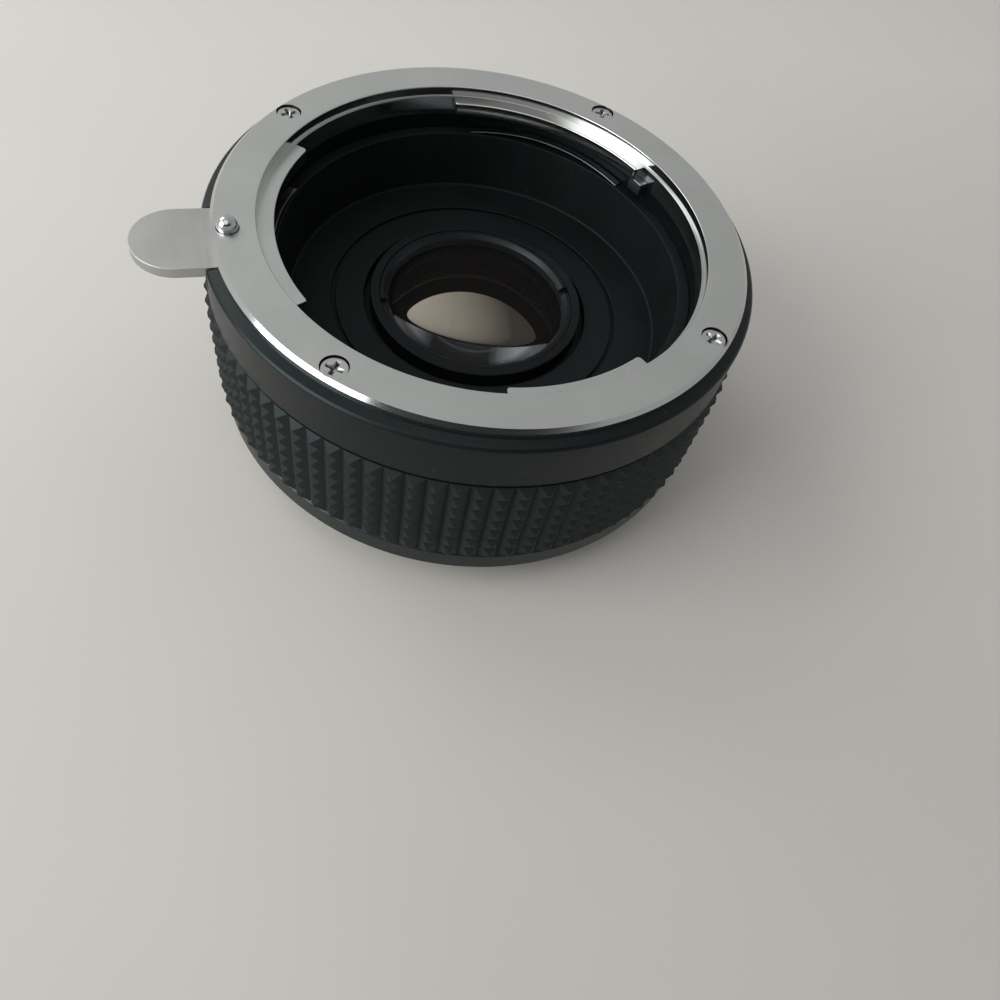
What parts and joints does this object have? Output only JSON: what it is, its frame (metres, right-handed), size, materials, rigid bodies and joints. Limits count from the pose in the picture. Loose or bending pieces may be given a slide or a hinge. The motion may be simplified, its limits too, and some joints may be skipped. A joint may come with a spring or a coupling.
{
  "type": "camera teleconverter",
  "caption": "Short black ring-shaped lens converter with a bright bayonet on each end, a knurled grip, a release tab and a lens block deep in its well.",
  "frame": {"origin": "on the optical axis, in the camera-side register face", "axes": "+Z along the optical axis from the camera to the lens; the release tab and the lock pin are on -X"},
  "size_m": [0.0698, 0.0636, 0.0316],
  "materials": {
    "chrome": "satin chrome plate on brass",
    "bright_screw": "plated steel screws",
    "steel": "satin nickel-plated steel",
    "black_barrel": "satin black anodised aluminium",
    "black_grip": "black anodised aluminium, knurled",
    "black_matt": "matt anti-glare black",
    "black_satin": "satin black",
    "brass": "turned",
    "index_red": "red enamel",
    "glass": "coated optical glass"
  },
  "bodies": {
    "body": {"front_mount": "chrome", "rear_mount": "chrome", "front_mount_screws": "bright_screw", "rear_mount_screws": "bright_screw", "lock_spring": "steel", "bayonet_stop": "steel", "bayonet_spring_1": "steel", "bayonet_spring_2": "steel", "bayonet_spring_3": "steel", "well_screws": "steel", "ring_clip": "steel", "aperture_spring": "steel", "main_barrel": "black_barrel", "rear_cover": "black_barrel", "grip_ring": "black_grip", "rear_baffle": "black_matt", "lens_well": "black_matt", "front_spacer": "black_matt", "rear_spacer": "black_matt", "lens_tube": "black_satin", "lens_lock_ring": "black_satin", "front_retaining_ring": "black_satin", "rear_retaining_ring": "black_satin", "spring_post": "brass", "index_bead": "index_red", "front_element": "glass", "negative_element": "glass", "positive_element": "glass", "rear_element": "glass"},
    "release": {"release_lever": "steel", "lock_pin": "steel"},
    "aperture": {"aperture_ring": "steel", "aperture_rear_arm": "steel", "arm_rivets": "brass", "ring_stud": "brass"}
  },
  "joints": [
    {"name": "release_press", "type": "slide", "parent": "body", "child": "release", "axis": [0, 0, -1], "range_m": [0, 0.0016], "stiffness_N_per_m": 800, "springref_m": -0.001, "deforming": ["lock_spring"]},
    {"name": "aperture_turn", "type": "hinge", "parent": "body", "child": "aperture", "pos_m": [0, 0, 0.0105], "axis": [0, 0, 1], "range_deg": [0, 25], "stiffness_Nm_per_rad": 0.008, "springref_deg": -14.32, "deforming": ["aperture_spring"]}
  ]
}
